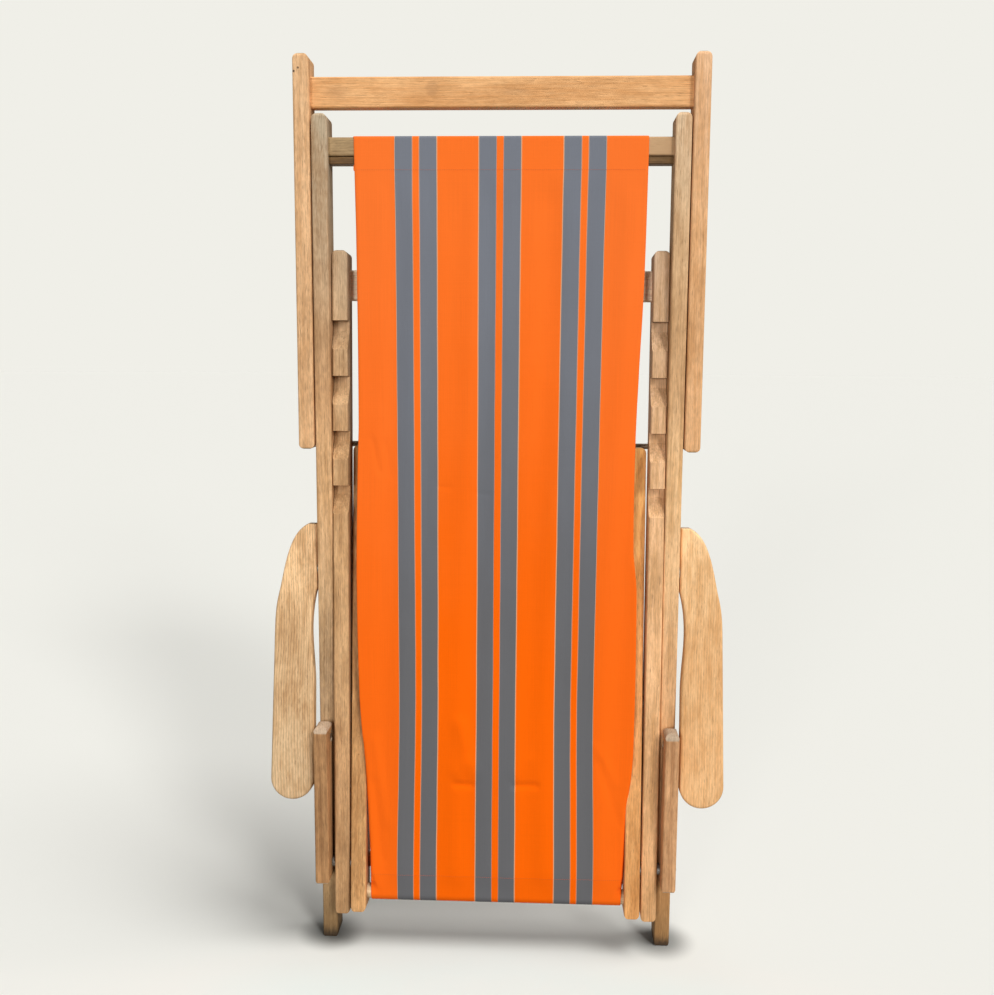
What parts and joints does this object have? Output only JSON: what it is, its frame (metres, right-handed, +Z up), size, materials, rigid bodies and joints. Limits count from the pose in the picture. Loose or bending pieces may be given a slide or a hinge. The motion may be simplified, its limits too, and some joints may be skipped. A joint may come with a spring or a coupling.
{
  "type": "steamer deck chair",
  "caption": "Folding wooden deck chair with arms: a striped canvas sling between a back frame and a notched seat frame, held open by a swinging prop.",
  "frame": {"origin": "on the floor under the middle of the folded, upright chair", "axes": "+Z up along the back rails, +X to the right when the canvas is seen from the front, +Y from the canvas side to the back"},
  "size_m": [0.733, 0.1226, 1.428],
  "materials": {
    "prop_wood": "oiled wood, fine straight grain",
    "back_wood": "weathered wood, grayed toward the top",
    "seat_wood": "weathered gray-brown wood",
    "inner_wood": "weathered tan wood",
    "arm_wood": "bare tan wood with long clear grain",
    "post_wood": "reddish-brown wood with pale end grain",
    "steel": "dull zinc-plated steel, lightly tarnished",
    "canvas": "orange plain-weave canvas with gray stripes"
  },
  "bodies": {
    "back": {"back_rail_left": "back_wood", "back_rail_right": "back_wood", "head_rail": "back_wood", "head_batten": "back_wood", "lower_stretcher": "back_wood", "frame_screws": "steel", "prop_bolts": "steel", "prop_nuts": "steel", "prop_washers": "steel", "fold_bolts": "steel", "fold_nuts": "steel", "fold_washers": "steel", "arm_bolts": "steel", "arm_washers": "steel", "canvas": "canvas"},
    "prop": {"prop_rail_left": "prop_wood", "prop_rail_right": "prop_wood", "prop_crossbar": "prop_wood", "prop_screws": "steel"},
    "seat": {"notched_rail_left": "seat_wood", "notched_rail_right": "seat_wood", "rear_stretcher": "seat_wood", "seat_screws": "steel", "inner_rail_left": "inner_wood", "inner_rail_right": "inner_wood", "seat_crossbar": "inner_wood", "canvas_dowel": "inner_wood", "tail_rod": "steel", "post_bolts": "steel", "post_spacers": "steel", "inner_washers": "steel"},
    "arm_left": {"arm_left": "arm_wood", "arm_pin_left": "steel"},
    "arm_right": {"arm_right": "arm_wood", "arm_pin_right": "steel"},
    "post_left": {"post_left": "post_wood"},
    "post_right": {"post_right": "post_wood"}
  },
  "joints": [
    {"name": "fold", "type": "hinge", "parent": "back", "child": "seat", "pos_m": [0, -0.00125, 0.415], "axis": [-1, 0, 0], "range_deg": [0, 86.9], "deforming": ["canvas"]},
    {"name": "prop_swing", "type": "hinge", "parent": "back", "child": "prop", "pos_m": [0, 0.00475, 0.859], "axis": [-1, 0, 0], "range_deg": [0, 140.5]},
    {"name": "arm_left_tilt", "type": "hinge", "parent": "back", "child": "arm_left", "pos_m": [-0.33, -0.00125, 0.63], "axis": [-1, 0, 0], "range_deg": [0, 86.9]},
    {"name": "post_left_tilt", "type": "hinge", "parent": "seat", "child": "post_left", "pos_m": [-0.281, -0.02825, 0.14103], "axis": [-1, 0, 0], "range_deg": [-86.9, 0]},
    {"name": "arm_right_tilt", "type": "hinge", "parent": "back", "child": "arm_right", "pos_m": [0.33, -0.00125, 0.63], "axis": [-1, 0, 0], "range_deg": [0, 86.9]},
    {"name": "post_right_tilt", "type": "hinge", "parent": "seat", "child": "post_right", "pos_m": [0.281, -0.02825, 0.14103], "axis": [-1, 0, 0], "range_deg": [-86.9, 0]}
  ],
  "couplings": [
    {"joint": "arm_left_tilt", "follows": "fold", "ratio": 1},
    {"joint": "post_left_tilt", "follows": "fold", "ratio": -1},
    {"joint": "arm_right_tilt", "follows": "fold", "ratio": 1},
    {"joint": "post_right_tilt", "follows": "fold", "ratio": -1}
  ]
}
